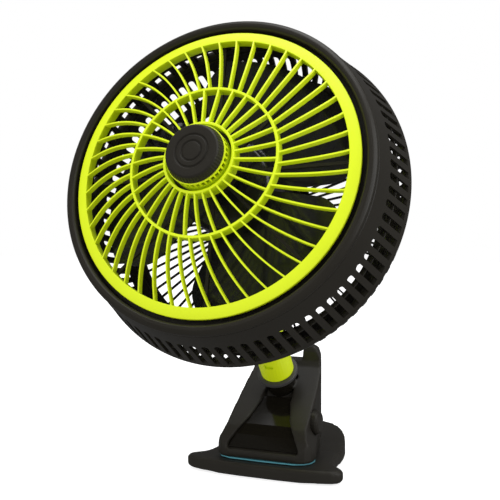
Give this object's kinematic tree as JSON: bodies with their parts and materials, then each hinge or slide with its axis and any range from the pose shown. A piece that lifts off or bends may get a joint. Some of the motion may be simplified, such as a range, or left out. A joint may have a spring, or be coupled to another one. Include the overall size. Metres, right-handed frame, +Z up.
{
  "type": "clip fan",
  "caption": "Clip fan with a round slotted case, a turning louvre grille, a leaning tube neck that swivels and tilts the head, and a wide spring clip as its foot.",
  "frame": {"origin": "middle of the underside of the sole pad, which is the face that the fan stands on", "axes": "+Z up, -Y out of the front of the clip, +X towards the side that carries the switch knob"},
  "size_m": [0.2878, 0.2835, 0.3928],
  "materials": {
    "charcoal_plastic": "satin",
    "grey_plastic": "satin",
    "lime_plastic": "satin",
    "smoke_plastic": "polished",
    "gloss_plastic": "polished",
    "black_rubber": "matte",
    "blue_rubber": "matte",
    "steel": "satin",
    "copper_wire": "satin",
    "brass": "satin"
  },
  "bodies": {
    "base": {"lower_jaw": "charcoal_plastic", "sole_pad": "black_rubber", "ballast_plate": "steel", "lower_pad": "black_rubber", "hinge_pin": "steel", "jaw_spring": "steel"},
    "clip": {"clip_body": "charcoal_plastic", "clip_rear_cover": "charcoal_plastic", "face_insert": "gloss_plastic", "upper_pad": "blue_rubber", "cover_screw_1": "steel", "cover_screw_2": "steel", "switch_body": "grey_plastic", "cord_gland": "black_rubber"},
    "switch": {"switch_knob": "grey_plastic"},
    "stem": {"swivel_collar": "grey_plastic", "neck": "lime_plastic", "neck_nut": "steel", "tilt_bolt": "steel", "tilt_nut": "steel"},
    "head": {"tilt_bracket": "charcoal_plastic", "front_case": "charcoal_plastic", "rear_case": "charcoal_plastic", "case_screw_1": "steel", "case_screw_2": "steel", "case_screw_3": "steel", "case_screw_4": "steel", "rear_grille": "charcoal_plastic", "louvre_spider": "charcoal_plastic", "louvre_spindle": "steel", "louvre_bush": "brass", "stator": "steel", "front_winding": "copper_wire", "rear_winding": "copper_wire", "motor_front_shell": "charcoal_plastic", "motor_rear_shell": "charcoal_plastic", "front_bearing": "brass", "rear_bearing": "brass", "motor_cap": "charcoal_plastic"},
    "louvre": {"louvre_grille": "lime_plastic", "centre_knob": "charcoal_plastic"},
    "fan": {"impeller": "smoke_plastic", "impeller_cap": "charcoal_plastic", "motor_shaft": "steel", "rotor": "steel"}
  },
  "joints": [
    {"name": "jaw_open", "type": "hinge", "parent": "base", "child": "clip", "pos_m": [0, 0, 0.024], "axis": [-1, 0, 0], "range_deg": [0, 30], "stiffness_Nm_per_rad": 6, "springref_deg": -34.38, "deforming": ["jaw_spring"]},
    {"name": "switch_turn", "type": "hinge", "parent": "clip", "child": "switch", "pos_m": [0.0375, -0.0234, 0.0445], "axis": [1, 0, 0], "range_deg": [0, 120]},
    {"name": "neck_swivel", "type": "hinge", "parent": "clip", "child": "stem", "pos_m": [0, -0.0155, 0.09], "axis": [0, -0.6293, 0.7771], "range_deg": [-90, 90]},
    {"name": "head_tilt", "type": "hinge", "parent": "stem", "child": "head", "pos_m": [0, -0.06836, 0.15528], "axis": [1, 0, 0], "range_deg": [-50, 35]},
    {"name": "fan_spin", "type": "hinge", "parent": "head", "child": "fan", "pos_m": [0, -0.17064, 0.27033], "axis": [0, -0.9542, 0.299], "continuous": true},
    {"name": "louvre_spin", "type": "hinge", "parent": "head", "child": "louvre", "pos_m": [0, -0.17064, 0.27033], "axis": [0, -0.9542, 0.299], "continuous": true}
  ]
}
